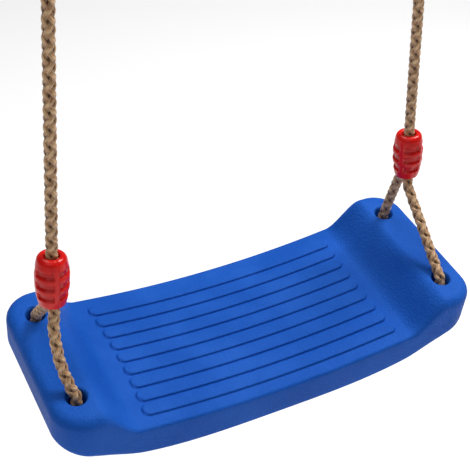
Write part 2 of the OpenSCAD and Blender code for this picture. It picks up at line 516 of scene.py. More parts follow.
@dataclass(frozen=True)
class SeatPlastic:
    """Blow-moulded plastic with a fine pebbled grain, and painted shade along the sloped edges of
    the strips.
    """

    base: Colour = (0.010, 0.098, 0.50)
    pale: Colour = (0.018, 0.124, 0.58)
    # edge: colour of the painted shade on the strips' sloped edges
    edge: Colour = (0.002, 0.036, 0.24)
    slot: str = "seat_plastic"

    def make(self) -> bpy.types.Material:
        """Returns:
            The material.
        """
        g = Graph("seat_plastic")
        where = g.place()
        cloud = g.noise(where, 14.0, 4.0)
        pebble = g.add(
            "TexVoronoi", {"Vector": where, "Scale": 430.0, "Randomness": 1.0}, feature="SMOOTH_F1"
        )
        grain = g.noise(where, 1500.0, 2.0)
        speck = g.noise(where, 420.0, 3.0).ramp(0.62, 0.8)
        tint = g.blend(cloud.ramp(0.35, 0.7), self.base, self.pale)
        tint = g.blend(speck * 0.5, tint, self.pale)
        # painted shade: the strips' sloped edges darken towards the edge colour, read from the
        # depth layer
        tint = g.blend(g.own("depth") * 0.7, tint, self.edge)
        height = pebble * 0.7 + grain * 0.4
        return g.surface(
            Base_Color=tint,
            Roughness=(cloud * 0.12 + grain * 0.1 + 0.36),
            Specular_IOR_Level=0.05,
            Normal=g.bump(height, 0.65 * MM, 1.0),
        )


@dataclass(frozen=True)
class ClampPlastic:
    """Glossy red moulded plastic with faint flow marks, and painted shade in the pockets."""

    base: Colour = (0.90, 0.014, 0.010)
    deep: Colour = (0.74, 0.008, 0.006)
    # colour of the painted shade deep in the pockets
    sunk: Colour = (0.66, 0.006, 0.005)
    slot: str = "clamp_plastic"

    def make(self) -> bpy.types.Material:
        """Returns:
            The material.
        """
        g = Graph("clamp_plastic")
        where = g.place()
        flow = g.noise(g.stretched(where, (1.0, 1.0, 0.35)), 90.0, 4.0)
        fine = g.noise(where, 1400.0, 2.0)
        scuff = g.noise(g.stretched(where, (1.0, 1.0, 3.0)), 700.0, 5.0).ramp(0.6, 0.8)
        colour = g.blend(flow.ramp(0.35, 0.7), self.deep, self.base)
        return g.surface(
            # painted shade: the pockets darken with their depth
            Base_Color=g.blend(g.own("depth").ramp(0.1, 0.9), colour, self.sunk),
            Roughness=(flow * 0.1 + scuff * 0.18 + 0.14),
            Specular_IOR_Level=0.25,
            Coat_Weight=0.12,
            Coat_Roughness=0.08,
            Normal=g.bump(fine * 0.3 + flow, 0.12 * MM, 0.35),
        )


@dataclass(frozen=True)
class RopeFibre:
    """Golden brown fibre, with painted shade in the crevices of the braid and a painted highlight
    on its crests.
    """

    tan: Colour = (0.36, 0.145, 0.036)
    # pale serves both the fibre's own pale streaks and the painted highlight on the crests
    pale: Colour = (1.0, 0.68, 0.38)
    # brown is the painted shade in the crevices and between the yarns
    brown: Colour = (0.06, 0.02, 0.007)
    slot: str = "rope_fibre"

    def make(self) -> bpy.types.Material:
        """Returns:
            The material.
        """
        g = Graph("rope_fibre")
        along = g.add("TexCoord", out="UV")
        streak = g.noise(g.stretched(along, (0.35, 9.0, 1.0)), 5.0, 5.0, 0.6)
        hair = g.noise(g.stretched(along, (0.8, 40.0, 1.0)), 4.0, 3.0)
        patch = g.noise(g.place(), 60.0, 3.0)
        depth = g.own("depth")
        # painted shade: the fibre turns brown deep in the braid's crevices
        open_side = depth.ramp(0.6, 0.93)
        yarn = g.add(
            "TexWave",
            {"Vector": g.stretched(along, (0.5, 4.0, 1.0)), "Scale": 1.0, "Distortion": 1.2,
             "Detail": 2.0},
            wave_type="BANDS", bands_direction="DIAGONAL",
        )
        fibre = g.blend(streak.ramp(0.42, 0.62), self.tan, self.pale)
        fibre = g.blend(patch.ramp(0.4, 0.75) * 0.35, fibre, self.tan)
        # painted highlight: pale on the outermost crests of the strands
        fibre = g.blend(depth.ramp(0.93, 1.0) * 0.7, fibre, self.pale)
        colour = g.blend(open_side, self.brown, fibre)
        # painted shade: a faint brown line in the grooves between the yarns
        colour = g.blend(yarn.ramp(0.0, 0.35, 0.3, 0.0), colour, self.brown)
        height = streak * 0.5 + hair * 0.4 + yarn * 0.6
        return g.surface(
            Base_Color=colour,
            Roughness=(hair * 0.2 + 0.38),
            Specular_IOR_Level=0.6,
            Sheen_Weight=0.15,
            Normal=g.bump(height, 0.35 * MM, 0.8),
        )


@dataclass(frozen=True)
class Metal:
    """Plated or bare metal with fine drawing marks."""

    name: str
    base: Colour
    dull: Colour
    slot: str

    def make(self) -> bpy.types.Material:
        """Returns:
            The material.
        """
        g = Graph(self.name)
        where = g.place()
        bloom = g.noise(where, 160.0, 5.0)
        lines = g.noise(g.stretched(where, (0.2, 1.0, 1.0)), 2600.0, 2.0)
        return g.surface(
            Base_Color=g.blend(bloom.ramp(0.3, 0.7), self.base, self.dull),
            Metallic=1.0,
            Roughness=(bloom * 0.2 + lines * 0.12 + 0.2),
            Normal=g.bump(lines * 0.6 + bloom * 0.4, 0.03 * MM, 0.5),
        )


@dataclass(frozen=True)
class Nylon:
    """Dark moulded nylon."""

    base: Colour = (0.02, 0.02, 0.022)
    worn: Colour = (0.06, 0.06, 0.065)
    slot: str = "thimble_nylon"

    def make(self) -> bpy.types.Material:
        """Returns:
            The material.
        """
        g = Graph("thimble_nylon")
        where = g.place()
        wear = g.noise(where, 220.0, 5.0)
        fine = g.noise(where, 2200.0, 2.0)
        return g.surface(
            Base_Color=g.blend(wear.ramp(0.5, 0.8), self.base, self.worn),
            Roughness=(wear * 0.2 + 0.35),
            Normal=g.bump(fine, 0.05 * MM, 0.5),
        )


@dataclass(frozen=True)
class FloorPaint:
    """Plain pale floor."""

    pale: Colour = (0.88, 0.88, 0.88)
    glow: float = 0.42

    def make(self) -> bpy.types.Material:
        """Returns:
            The material.
        """
        g = Graph("floor_paint")
        faint = g.noise(g.place(), 3.0, 2.0)
        return g.surface(
            Base_Color=self.pale, Roughness=(faint * 0.05 + 0.85),
            Emission_Color=self.pale, Emission_Strength=self.glow,
        )


@dataclass
class Finishes:
    """Every material of the scene."""

    def __post_init__(self) -> None:
        """Makes the materials once."""
        self.kinds = {
            "seat": SeatPlastic(),
            "clamp": ClampPlastic(),
            "rope": RopeFibre(),
            "ring": Metal("ring_steel", (0.62, 0.63, 0.65), (0.42, 0.44, 0.46), "ring_steel"),
            "sleeve": Metal("sleeve_aluminium", (0.78, 0.78, 0.8), (0.6, 0.6, 0.62),
                            "sleeve_aluminium"),
            "thimble": Nylon(),
        }
        self.made = {name: kind.make() for name, kind in self.kinds.items()}
        self.floor = FloorPaint().make()

    def dress(self, thing: bpy.types.Object, name: str) -> None:
        """Gives a piece its material.

        Args:
            thing: the piece.
            name: which finish.
        """
        thing.data.materials.clear()
        thing.data.materials.append(self.made[name])


# ---------------------------------------------------------------- how it hangs


@dataclass(frozen=True)
class Hang:
    """Where the ropes and the seat hang, read from the record."""

    seat_pitch: float = math.radians(7.5)
    seat_turn: float = math.radians(6.0)
    clamp_back: float = 15.1 * MM
    clamp_rise: float = 70.0 * MM
    wire_to_mouth: float = 403.0 * MM  # from the ring's wire down to the lower clamp's mouth
    upper_mouth: float = 55.0 * MM

    def _joint(self, name: str) -> Vector:
        """The place of a joint, as the record gives it."""
        joints = frame["record"]["behaviour"]["joints"]
        return Vector(next(j["pos_m"] for j in joints if j["name"] == name))

    def rope_axes(self, side: Side) -> Matrix:
        """The frame of one rope, +Z up the rope, with its origin on the ring's wire.

        Args:
            side: which rope.

        Returns:
            Its matrix.
        """
        low, high = self._joint("left_level"), self._joint("sway")
        up = (high - low).normalized()
        wire = self._joint("swing")
        if side is Side.RIGHT:
            up.x, wire.x = -up.x, -wire.x
        back = Vector((0, 1, 0))
        axes = Matrix((back.cross(up), back, up)).transposed().to_4x4()
        axes.translation = wire
        return axes

    def lower_clamp(self, side: Side) -> Matrix:
        """The frame of a lower clamp, +Z up the rope, with its origin in the mouth.

        Args:
            side: which clamp.

        Returns:
            Its matrix.
        """
        return self.rope_axes(side) @ Matrix.Translation((0, 0, -self.wire_to_mouth))

    def upper_clamp(self, side: Side) -> Matrix:
        """The frame of an upper clamp, +Z down the rope, with its origin in the mouth.

        Args:
            side: which clamp.

        Returns:
            Its matrix.
        """
        down = Matrix.Rotation(math.pi, 4, "X")
        return self.rope_axes(side) @ Matrix.Translation((0, 0, -self.upper_mouth)) @ down

    def seat(self) -> Matrix:
        """The seat's frame, with the hole plane at its z = 0.

        Returns:
            Its matrix.
        """
        mouth = self.lower_clamp(Side.LEFT).translation.z
        return (
            Matrix.Translation((0, 0, mouth))
            @ Matrix.Rotation(-self.seat_turn, 4, "Z")
            @ Matrix.Rotation(self.seat_pitch, 4, "X")
            @ Matrix.Translation((0, -self.clamp_back, -self.clamp_rise))
        )


# ---------------------------------------------------------------- seat


@dataclass(frozen=True)
class SeatSizes:
    """Sizes of the seat in its own frame."""

    half_length: float = 218.5 * MM
    half_width: float = 86.0 * MM
    corner: float = 30.0 * MM
    sag: float = 44.0 * MM
    arc_rise: float = 11.0 * MM
    foot: float = 148.0 * MM
    slope: float = 29.0 * MM
    soft: float = 4.0 * MM
    mid_wall: float = 36.0 * MM
    end_wall: float = 36.0 * MM
    belly_power: float = 3.2
    crown: float = 1.6 * MM
    lip_mid: float = 3.2 * MM
    lip_end: float = 10.0 * MM
    foot_round_mid: float = 5.0 * MM
    hole_x: float = 192.5 * MM
    hole_y: float = 53.0 * MM
    hole_r: float = 9.0 * MM
    patch: float = 13.0 * MM
    slot_half: float = 7.0 * MM
    slot_depth: float = 24.0 * MM
    strips: int = 9
    pitch: float = 16.4 * MM
    groove: float = 2.2 * MM
    rise: float = 2.0 * MM
    strip_half: float = 135.7 * MM
    strip_arc: float = 3.0 * MM


class Seat:
    """The hollow seat with its strips, rope holes and underside slots."""

    PATCH_CELLS = 13
    HOLE_RING = 4
    RIM = {  # radius and drop of each ring of points round a hole, by number from its middle
        12: (12.5, 0.0), 11: (12.0, 0.0), 10: (11.4, 0.0), 9: (10.8, 0.12), 8: (10.2, 0.45),
        7: (9.7, 0.95), 6: (9.3, 1.7), 5: (9.05, 2.8), 4: (9.0, 4.5),
    }
    LIP_STEPS = 6
    WALL_STEPS = 4
    FOOT_STEPS = 6

    def __init__(self, hang: Hang, sizes: SeatSizes = SeatSizes()) -> None:
        """Args:
            hang: where the seat hangs.
            sizes: its sizes.
        """
        self.hang = hang
        self.s = sizes
        self.columns = self._columns()
        self.strip_rows, self.lobe_rows = self._rows()

    # ---- lines of the grid
    def _columns(self) -> list[float]:
        """Places of the grid's columns, from the middle of the seat to its end.

        Returns:
            The X values.
        """
        s = self.s
        tip = s.strip_half
        start, stop = s.hole_x - s.patch, s.hole_x + s.patch
        lines = [0.0]
        lines += spread(0.0, tip - 11 * MM, 25)
        lines += spread(lines[-1], tip + 2 * MM, 16)
        lines += spread(lines[-1], s.foot, 5)
        lines += spread(s.foot, start, 16)
        lines += spread(start, stop, 2 * self.PATCH_CELLS)
        inner = s.corner - s.lip_end
        middle = s.half_length - s.corner
        first = math.asin((stop - middle) / inner)
        lines += [middle + inner * math.sin(a) for a in spread(first, math.pi / 2, 5)]
        return lines

    def _rows(self) -> tuple[list[float], list[float]]:
        """Places of the grid's rows, from the middle of the seat to its edge.

        Returns:
            The Y values in the sagging part and those in the ends, row for row.
        """
        s = self.s
        near = [0.0, 0.5, 1.0, 1.5, 2.1, 3.2, 5.6]
        offsets = [-o * MM for o in reversed(near[1:])] + [o * MM for o in near]
        strip_rows = [0.0]
        for k in range(s.strips // 2 + 1):
            middle = (k + 0.5) * s.pitch
            strip_rows += [middle + o for o in offsets]
            if k < s.strips // 2:
                strip_rows.append((k + 1) * s.pitch)
        strip_rows += spread(strip_rows[-1], s.half_width - s.lip_mid, 2)
        inner, outer = s.hole_y - s.patch, s.hole_y + s.patch
        cells = 2 * self.PATCH_CELLS
        beyond = 9
        lobe_rows = [0.0] + spread(0.0, inner, len(strip_rows) - 1 - cells - beyond)
        lobe_rows += spread(inner, outer, cells)
        lobe_rows += spread(outer, s.half_width - s.lip_end, beyond)
        return strip_rows, lobe_rows

    # ---- heights
    def top(self, x: float, y: float) -> float:
        """Height of the upper surface without its strips.

        Args:
            x: place along the seat.
            y: place across the seat.

        Returns:
            The height in the seat's frame.
        """
        s = self.s
        a = abs(x)
        middle = -s.sag + s.arc_rise * (min(a, s.foot) / s.foot) ** 2
        middle += s.crown * (1.0 - (y / s.half_width) ** 2)
        return middle * (1.0 - smooth(a, s.foot - s.soft, s.foot + s.slope + s.soft))

    def under(self, x: float) -> float:
        """Height of the underside.

        Args:
            x: place along the seat.

        Returns:
            The height in the seat's frame.
        """
        s = self.s
        lowest = -s.sag - s.mid_wall
        return lowest + (-s.end_wall - lowest) * (abs(x) / s.half_length) ** s.belly_power

    def relief(self, x: float, y: float) -> float:
        """Height of the strips above the upper surface.

        Args:
            x: place along the seat.
            y: place across the seat.

        Returns:
            The extra height.
        """
        s = self.s
        half = (s.pitch - s.groove) / 2
        number = round(y / s.pitch)
        if abs(number) > s.strips // 2:
            number = int(math.copysign(s.strips // 2, y))
        share = number / (s.strips // 2)
        end = s.strip_half - s.strip_arc * (1 - share * share) - half
        off = y - number * s.pitch
        gone = math.hypot(max(abs(x) - end, 0.0), off) - half
        dome = 1.0 + 0.12 * max(0.0, 1 - (off / half) ** 2)
        return s.rise * dome * (1.0 - smooth(gone, -0.9 * MM, 0.25 * MM))

    def _slotted(self, x: float, y: float) -> float:
        """Height of the underside with the slots that the ropes lie in.

        Args:
            x: place along the seat.
            y: place across the seat.

        Returns:
            The height in the seat's frame.
        """
        s = self.s
        inside = abs(abs(x) - s.hole_x) <= s.slot_half + 0.01 * MM and abs(y) <= s.hole_y
        return self.under(s.hole_x) + s.slot_depth if inside else self.under(x)

    def _lobe(self, x: float) -> float:
        """Share of the raised end's shape: 0 in the sagging part and 1 in the end."""
        return smooth(abs(x), self.s.foot - 8 * MM, self.s.foot + self.s.slope)

    def _lip(self, x: float) -> float:
        """Radius of the upper lip."""
        return lerp(self.s.lip_mid, self.s.lip_end, self._lobe(x))

    def _foot_round(self, x: float) -> float:
        """Radius of the lower edge."""
        return lerp(self.s.foot_round_mid, self.s.lip_end, self._lobe(x))

    # ---- places of the grid's points
    def _plan(self, i: int, j: int) -> tuple[float, float]:
        """Place of a grid point in plan, on the contour inside the upper lip.

        Args:
            i: number of the column, counted from the middle.
            j: number of the row, counted from the middle.

        Returns:
            The X and Y values.
        """
        s = self.s
        x = math.copysign(self.columns[abs(i)], i)
        a, row = abs(x), abs(j)
        y = lerp(self.strip_rows[row], self.lobe_rows[row], self._lobe(x))
        middle_x, middle_y = s.half_length - s.corner, s.half_width - s.corner
        edge = s.hole_y + s.patch
        full = s.half_width - s.lip_end
        inner = s.corner - s.lip_end
        if a > middle_x:
            patch_end = s.hole_x + s.patch
            arc = lambda v: middle_y + math.sqrt(max(0.0, inner**2 - (v - middle_x) ** 2))
            limit = arc(min(a, patch_end))
            if y > edge:
                y = edge + (y - edge) / (full - edge) * (limit - edge)
            if a > patch_end:
                y *= arc(a) / arc(patch_end)
        return x, math.copysign(y, j)

    def _rim(self, i: int, j: int) -> tuple[int, float, float] | None:
        """Where a grid point lies in the patch round a hole.

        Args:
            i: number of the column, counted from the middle.
            j: number of the row, counted from the middle.

        Returns:
            The ring number and the angle's cosine and sine, or None outside the patch.
        """
        ci = self.columns.index(min(self.columns, key=lambda v: abs(v - self.s.hole_x)))
        cj = self.lobe_rows.index(min(self.lobe_rows, key=lambda v: abs(v - self.s.hole_y)))
        p, q = abs(i) - ci, abs(j) - cj
        ring = max(abs(p), abs(q))
        if ring > self.PATCH_CELLS:
            return None
        if ring == 0:
            return 0, 0.0, 0.0
        if abs(p) >= abs(q):
            angle = math.pi / 4 * q / p + (0.0 if p > 0 else math.pi)
        else:
            angle = math.pi / 2 - math.pi / 4 * p / q + (0.0 if q > 0 else math.pi)
        return ring, math.cos(angle), math.sin(angle)

    def _point(self, i: int, j: int, upper: bool) -> Vector:
        """Place of a grid point on the upper surface or the underside.

        Args:
            i: number of the column, counted from the middle.
            j: number of the row, counted from the middle.
            upper: True for the upper surface.

        Returns:
            The place in the seat's frame.
        """
        s = self.s
        x, y = self._plan(i, j)
        drop = 0.0
        rim = self._rim(i, j)
        if rim:
            ring, c, w = rim
            radius, drop = self.RIM.get(ring, (s.hole_r / MM * ring / self.HOLE_RING, 4.5))
            if ring < self.PATCH_CELLS:
                share = min(1.0, (self.PATCH_CELLS - ring) / 3)
                round_x = s.hole_x + radius * MM * c
                round_y = s.hole_y + radius * MM * w
                x = lerp(x, math.copysign(round_x, i), share)
                y = lerp(y, math.copysign(round_y, j), share)
            else:
                drop = 0.0
        if upper:
            return Vector((x, y, self.top(x, y) + self.relief(x, y) - drop * MM))
        y *= (s.half_width - self._foot_round(x)) / (s.half_width - self._lip(x))
        return Vector((x, y, self._slotted(x, y) + min(drop, 1.0) * MM * 0.6))

    def _outward(self, i: int, j: int) -> Vector:
        """Direction out of the seat at a point of the grid's border.

        Args:
            i: number of the column, counted from the middle.
            j: number of the row, counted from the middle.

        Returns:
            The direction, level and of length one.
        """
        s = self.s
        x, y = self._plan(i, j)
        if abs(i) == len(self.columns) - 1:
            return Vector((math.copysign(1, i), 0, 0))
        middle = s.half_length - s.corner
        if abs(x) <= middle:
            return Vector((0, math.copysign(1, j), 0))
        turn = math.asin(min(1.0, (abs(x) - middle) / (s.corner - s.lip_end)))
        return Vector((math.copysign(math.sin(turn), i), math.copysign(math.cos(turn), j), 0))

    def _wall(self, i: int, j: int, step: int) -> Vector:
        """Place of a point of the side wall.

        Args:
            i: number of the column, counted from the middle.
            j: number of the row, counted from the middle.
            step: its number, counted down from the upper lip.

        Returns:
            The place in the seat's frame.
        """
        top = self._point(i, j, True)
        out = self._outward(i, j)
        lip, foot = self._lip(top.x), self._foot_round(top.x)
        low = self.under(top.x)
        if step <= self.LIP_STEPS:
            a = math.pi / 2 * step / self.LIP_STEPS
            return top + out * lip * math.sin(a) - Vector((0, 0, lip * (1 - math.cos(a))))
        edge = top + out * lip
        if step <= self.LIP_STEPS + self.WALL_STEPS:
            share = (step - self.LIP_STEPS) / self.WALL_STEPS
            edge.z = lerp(top.z - lip, low + foot, share)
            return edge
        a = math.pi / 2 * (step - self.LIP_STEPS - self.WALL_STEPS) / self.FOOT_STEPS
        edge.z = low + foot * (1 - math.sin(a))
        return edge - out * foot * (1 - math.cos(a))

    # ---- building
    def _half(self, shell: Shell, tag: "bmesh.types.BMLayerItem", upper: bool) -> list:
        """Makes the upper surface or the underside.

        Args:
            shell: the mesh it goes into.
            tag: the layer that keeps each point's column and row.
            upper: True for the upper surface.

        Returns:
            The new points.
        """
        nu, nv = 2 * (len(self.columns) - 1), 2 * (len(self.lobe_rows) - 1)

        def number(u: float, v: float) -> tuple[int, int]:
            """Column and row of a grid point."""
            return round(u * nu) - nu // 2, round(v * nv) - nv // 2

        made = shell.grid(nu, nv, lambda u, v: Vector((u, v, 0)))
        for vert in made:
            i, j = number(vert.co.x, vert.co.y)
            vert[tag] = (i + nu) * 4 * nv + (j + nv)
            vert.co = self._point(i, j, upper)
            if upper:
                # the depth layer peaks on the strips' sloped edges, where the seat's material
                # paints shade
                share = min(1.0, self.relief(vert.co.x, vert.co.y) / self.s.rise)
                vert[shell.depth] = 4 * share * (1 - share)
        return made

    def _untag(self, value: int) -> tuple[int, int]:
        """Column and row that a tag stands for."""
        nu, nv = 2 * (len(self.columns) - 1), 2 * (len(self.lobe_rows) - 1)
        return value // (4 * nv) - nu, value % (4 * nv) - nv

    def build(self, finishes: Finishes) -> bpy.types.Object:
        """Makes the seat and puts it on its body.

        Args:
            finishes: the materials.

        Returns:
            The piece.
        """
        shell = Shell("seat")
        tag = shell.bm.verts.layers.int.new("tag")
        upper = self._half(shell, tag, True)
        ring = shell.open_edges()
        for step in range(1, self.LIP_STEPS + self.WALL_STEPS + self.FOOT_STEPS + 1):
            made = bmesh.ops.extrude_edge_only(shell.bm, edges=ring)["geom"]
            for vert in (g for g in made if isinstance(g, bmesh.types.BMVert)):
                vert.co = self._wall(*self._untag(vert[tag]), step)
            ring = [g for g in made if isinstance(g, bmesh.types.BMEdge) and len(g.link_faces) == 1]
        border = {v for e in ring for v in e.verts}
        lower = self._half(shell, tag, False)
        by_tag = {v[tag]: v for v in border}
        for vert in lower:
            if vert[tag] in by_tag:
                vert.co = by_tag[vert[tag]].co
        inside = [
            f
            for half in (upper, lower)
            for f in {f for v in half if v.is_valid for f in v.link_faces}
            if all((self._rim(*self._untag(v[tag])) or (99,))[0] <= self.HOLE_RING for v in f.verts)
        ]
        bmesh.ops.delete(shell.bm, geom=list(set(inside)), context="FACES")
        shell.weld()
        for sx in (-1, 1):
            for sy in (-1, 1):
                middle = Vector((sx * self.s.hole_x, sy * self.s.hole_y))
                loops = [
                    e for e in shell.open_edges()
                    if (e.verts[0].co.xy - middle).length < self.s.patch
                ]
                bmesh.ops.bridge_loops(shell.bm, edges=loops)
        seat = shell.finish(self.hang.seat())
        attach(seat, "seat")
        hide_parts("seat_shell")
        finishes.dress(seat, "seat")
        return seat


# ---------------------------------------------------------------- clamps


@dataclass(frozen=True)
class ClampSizes:
    """Sizes of a barrel clamp in its own frame, mouth at z = 0."""

    height: float = 48.0
    belly: float = 26.0
    radius: float = 15.0
    taper: float = 3.2
    pocket_low: float = 12.0
    pocket_pitch: float = 11.2
    pocket_rows: int = 3
    pocket_height: float = 7.0
    pocket_depth: float = 2.1
    web: float = 4.8
    seam: float = 0.1


class Clamp:
    """A barrel clamp, moulded as two half shells."""

    COLUMNS = 72
    MOUTH = [(10.6, 4.0), (10.6, 1.6), (10.75, 0.7), (11.0, 0.2), (11.4, 0.02), (11.85, 0.35)]
    CROWN = [
        (12.85, 44.0), (12.5, 45.0), (11.95, 45.9), (11.2, 46.65), (10.3, 47.2), (9.4, 47.55),
        (8.5, 47.75), (7.7, 47.7), (7.05, 47.3), (6.6, 46.5), (6.35, 45.2), (6.3, 43.4),
        (6.3, 41.4),
    ]
    BORE = [(6.3, 40.4), (7.3, 39.0), (9.2, 37.4), (10.7, 36.0), (10.9, 28.0), (10.9, 18.0),
            (10.8, 9.0)]
    MOUTH_SQUEEZE = 0.62  # the oval cavity's X size as a share of its Y size
    OVAL_TOP = 34.0  # the cavity is oval up to here and round from ROUND_FOOT up
    ROUND_FOOT = 40.0
    SEAM_GROOVE = 0.15
    SEAM_REACH = (0.1, 0.6)  # distances from the parting plane over which the groove fades
    POCKET_EDGE = (1.6, 0.5)  # how far a pocket's soft edge lies inside and outside its height
    WEB_EDGE = (0.2, 0.8)  # the same for the webs between the pockets

    def __init__(self, sizes: ClampSizes = ClampSizes()) -> None:
        """Args:
            sizes: sizes in millimetres.
        """
        self.s = sizes
        self.profile = self._profile()

    def _belly(self, z: float) -> float:
        """Radius of the barrel's outside.

        Args:
            z: height above the mouth.

        Returns:
            The radius.
        """
        s = self.s
        span = s.belly if z < s.belly else s.height - s.belly
        return s.radius - s.taper * ((z - s.belly) / span) ** 2

    def _profile(self) -> list[tuple[float, float, bool]]:
        """Makes the outline of the wall, once round.

        Returns:
            Radius, height and whether the point is in the bore, for each point.
        """
        heights = spread(1.0, 7.5, 6) + spread(7.5, 39.0, 64) + spread(39.0, 43.0, 6)
        points = [(r, z, True) for r, z in self.MOUTH[:3]]
        points += [(r, z, False) for r, z in self.MOUTH[3:]]
        points += [(self._belly(z), z, False) for z in heights]
        points += [(r, z, False) for r, z in self.CROWN]
        points += [(r, z, True) for r, z in self.BORE]
        return points + points[:1]

    def _sunk(self, z: float, angle: float, turn: float) -> float:
        """How deep the pockets lie at a point of the outside.

        Args:
            z: height above the mouth.
            angle: angle round the barrel.
            turn: angle of the webs.

        Returns:
            The depth.
        """
        s = self.s
        deep = 0.0
        for k in range(s.pocket_rows):
            off = abs(z - s.pocket_low - k * s.pocket_pitch)
            into, past = self.POCKET_EDGE
            half = s.pocket_height / 2
            deep = max(deep, 1.0 - smooth(off, half - into, half + past))
        quarter = math.pi / 2
        to_web = abs((angle - turn + quarter / 2) % quarter - quarter / 2) * s.radius
        into, past = self.WEB_EDGE
        return s.pocket_depth * deep * smooth(to_web, s.web / 2 - into, s.web / 2 + past)

    def half(self, name: str, toward: int, turn: float, place: Matrix) -> bpy.types.Object:
        """Makes one half shell.

        Args:
            name: name of the piece.
            toward: 1 for the half on the +X side, -1 for the other.
            turn: angle of the webs.
            place: the clamp's frame.

        Returns:
            The piece.
        """
        shell = Shell(name)
        last = len(self.profile) - 1
        first = -math.pi / 2 if toward > 0 else math.pi / 2

        def spot(u: float, v: float) -> Vector:
            """Place of a point of the half shell.

            Args:
                u: share of the way round.
                v: share of the way along the outline.

            Returns:
                The place in the clamp's frame.
            """
            r, z, bore = self.profile[round(v * last)]
            angle = first + math.pi * u
            if not bore:
                r -= self._sunk(z, angle, turn)
                off_seam = abs(math.cos(angle)) * r
                r -= self.SEAM_GROOVE * (1 - smooth(off_seam, *self.SEAM_REACH))
            squeeze = 1.0
            if bore:
                squeeze = lerp(self.MOUTH_SQUEEZE, 1.0, smooth(z, self.OVAL_TOP, self.ROUND_FOOT))
            x = math.cos(angle) * r * squeeze
            if abs(math.cos(angle)) < 1e-6:
                x = self.s.seam * toward
            return Vector((x, math.sin(angle) * r, z)) * MM

        # the depth layer sets the painted shade in the pockets
        def depth(u: float, v: float) -> float:
            """How deep in a pocket a point lies.

            Args:
                u: share of the way round.
                v: share of the way along the outline.

            Returns:
                The depth, as a share of a pocket's depth.
            """
            r, z, bore = self.profile[round(v * last)]
            return 0.0 if bore else self._sunk(z, first + math.pi * u, turn) / self.s.pocket_depth

        shell.grid(self.COLUMNS, last, spot, (3.0, 3.0), (0.0, 0.0), depth)
        shell.weld()
        shell.close_ends()
        return shell.finish(place)


# ---------------------------------------------------------------- ropes


@dataclass(frozen=True)
class BraidSizes:
    """Sizes of the rope's braid, in metres."""

    diameter: float = 10.0 * MM
    pairs: int = 3
    middle: float = 2.95 * MM
    swing: float = 0.7 * MM
    thick: float = 1.8 * MM
    wide: float = 3.0 * MM
    repeat: float = 14.5 * MM  # length after which the pattern comes back
    sides: int = 12


class Rope:
    """A round braid of six strands along a line."""

    def __init__(self, sizes: BraidSizes = BraidSizes()) -> None:
        """Args:
            sizes: sizes of the braid.
        """
        self.s = sizes

    def build(self, name: str, path: Sequence[Vector], across: Vector) -> bpy.types.Object:
        """Makes the braid.

        Args:
            name: name of the piece.
            path: centreline, evenly cut.
            across: a direction square to its start.

        Returns:
            The piece.
        """
        s = self.s
        shell = Shell(name)
        sides = frames_along(path, across)
        rings = len(path) - 1
        step = length_of(path) / rings
        rate = math.pi * 2 / s.pairs / s.repeat
        outer = s.middle + s.swing + s.thick
        for number in range(2 * s.pairs):
            way = 1 if number < s.pairs else -1
            start = 2 * math.pi * (number % s.pairs) / s.pairs

            def spot(u: float, v: float, kept: dict) -> Vector:
                """Place of a point of a strand.

                Args:
                    u: share of the way along the rope.
                    v: share of the way round the strand.
                    kept: takes the point's offset from the centreline.

                Returns:
                    The place.
                """
                k = round(u * rings)
                turn = rate * step * k
                angle = start + way * turn
                reach = s.middle + way * s.swing * math.cos(s.pairs * turn)
                side, lift = sides[k]
                out = side * math.cos(angle) + lift * math.sin(angle)
                round_ = lift * math.cos(angle) - side * math.sin(angle)
                a = 2 * math.pi * v
                kept["r"] = (out * (reach + s.thick * math.cos(a)) + round_ * s.wide * math.sin(a))
                return path[k] + kept["r"]

            kept: dict = {}

            # the depth layer sets the painted shade in the crevices and the painted highlight on
            # the crests
            def depth(u: float, v: float) -> float:
                """How far out of the rope a point lies.

                Args:
                    u: share of the way along the rope.
                    v: share of the way round the strand.

                Returns:
                    Its distance from the centreline, as a share of the braid's outer radius.
                """
                spot(u, v, kept)
                return kept["r"].length / outer

            shell.grid(
                rings, s.sides, lambda u, v: spot(u, v, kept),
                (length_of(path) / s.diameter, 1.0), (0.0, float(number)), depth,
            )
        shell.weld()
        shell.close_ends()
        return shell.finish()


